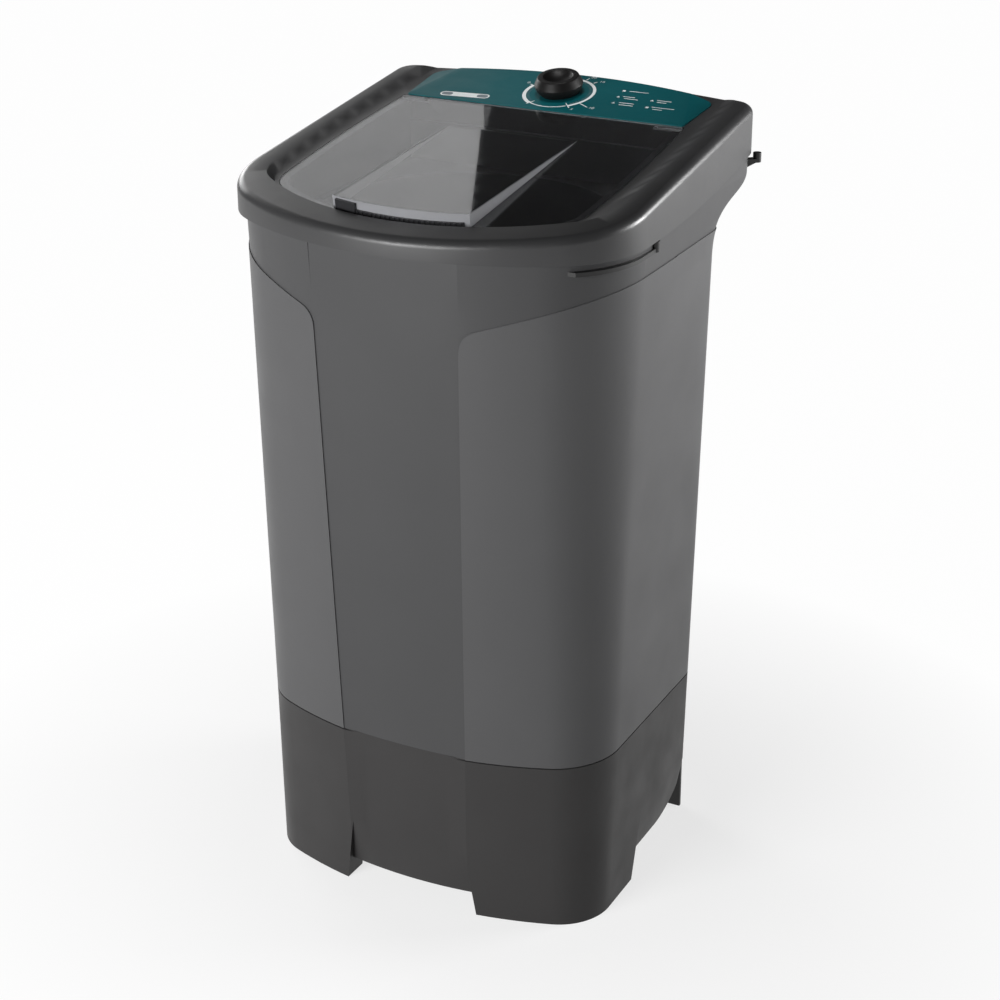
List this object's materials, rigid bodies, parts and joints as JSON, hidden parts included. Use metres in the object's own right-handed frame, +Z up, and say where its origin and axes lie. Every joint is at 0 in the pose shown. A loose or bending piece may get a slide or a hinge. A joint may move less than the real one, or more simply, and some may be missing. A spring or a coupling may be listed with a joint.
{
  "type": "washing machine",
  "caption": "Free-standing top-loading washing machine with a clear hinged lid, timer knob, bowed cabinet, wash tub with agitator, belt drive and motor.",
  "frame": {"origin": "on the floor, below the middle of the outline", "axes": "+Z up, the front with the lid's grip faces -Y, the control panel is at +Y, and +X is the side with the hooks"},
  "size_m": [0.4786, 0.493, 0.9067],
  "materials": {
    "shell_grey": "fine moulded grain, satin",
    "skirt_grey": "fine moulded grain, satin",
    "rim_grey": "satin",
    "tub_grey": "smooth satin",
    "cover_black": "fine grain",
    "lid_smoke": "polished, translucent",
    "grip_grey": "satin",
    "panel_teal": "printed film, semi-gloss",
    "knob_black": "gloss",
    "hook_black": "satin",
    "filter_blue_grey": "satin",
    "agitator_grey": "smooth satin",
    "grille_grey": "satin",
    "pipe_black": "satin",
    "gland_black": "satin",
    "timer_white": "satin",
    "pulley_alloy": "die-cast",
    "pulley_black": "satin",
    "housing_alloy": "die-cast",
    "bearing_steel": "ground",
    "seal_rubber": "matte",
    "belt_rubber": "matte",
    "motor_paint": "satin enamel",
    "bracket_paint": "galvanised look",
    "can_alloy": "satin",
    "clamp_steel": "zinc plated",
    "screw_steel": "zinc plated",
    "shaft_steel": "turned"
  },
  "bodies": {
    "machine": {"base_skirt": "skirt_grey", "bearing_housing": "housing_alloy", "bracket_screws": "screw_steel", "cabinet": "shell_grey", "cable_gland": "gland_black", "capacitor": "can_alloy", "capacitor_clamp": "clamp_steel", "control_panel": "panel_teal", "drain_grille": "grille_grey", "drain_pipe": "pipe_black", "drive_belt": "belt_rubber", "hinge_pin_left": "shaft_steel", "hinge_pin_right": "shaft_steel", "housing_screws": "screw_steel", "lower_bearing": "bearing_steel", "motor_bolts": "screw_steel", "motor_bracket": "bracket_paint", "motor_case": "motor_paint", "rear_cover": "cover_black", "rear_cover_screws": "screw_steel", "rim_screws": "screw_steel", "shaft_seal": "seal_rubber", "side_hook_front": "hook_black", "side_hook_rear": "hook_black", "timer_case": "timer_white", "timer_screws": "screw_steel", "top_rim": "rim_grey", "upper_bearing": "bearing_steel", "wash_tub": "tub_grey"},
    "lid": {"lid": "lid_smoke", "lid_grip": "grip_grey"},
    "knob": {"timer_knob": "knob_black", "timer_shaft": "shaft_steel"},
    "agitator": {"agitator": "agitator_grey", "agitator_screw": "screw_steel", "drive_shaft": "shaft_steel", "driven_pulley": "pulley_black", "pulley_nut": "screw_steel"},
    "motor": {"motor_pulley": "pulley_alloy", "motor_shaft": "shaft_steel"},
    "filter": {"lint_filter": "filter_blue_grey"}
  },
  "joints": [
    {"name": "lid_hinge", "type": "hinge", "parent": "machine", "child": "lid", "pos_m": [0, 0.129, 0.86693], "axis": [-1, 0, 0], "range_deg": [0, 105]},
    {"name": "timer_turn", "type": "hinge", "parent": "machine", "child": "knob", "pos_m": [0, 0.183, 0.88159], "axis": [0, -0.1959, 0.9806], "range_deg": [-300, 0]},
    {"name": "agitator_spin", "type": "hinge", "parent": "machine", "child": "agitator", "pos_m": [0, -0.047, 0.3], "axis": [0, 0, 1], "continuous": true},
    {"name": "motor_spin", "type": "hinge", "parent": "machine", "child": "motor", "pos_m": [0, 0.063, 0.2], "axis": [0, 0, 1], "continuous": true},
    {"name": "filter_lift", "type": "slide", "parent": "machine", "child": "filter", "axis": [0, 0, 1], "range_m": [0, 0.112]}
  ],
  "couplings": [
    {"joint": "motor_spin", "follows": "agitator_spin", "ratio": 4}
  ]
}
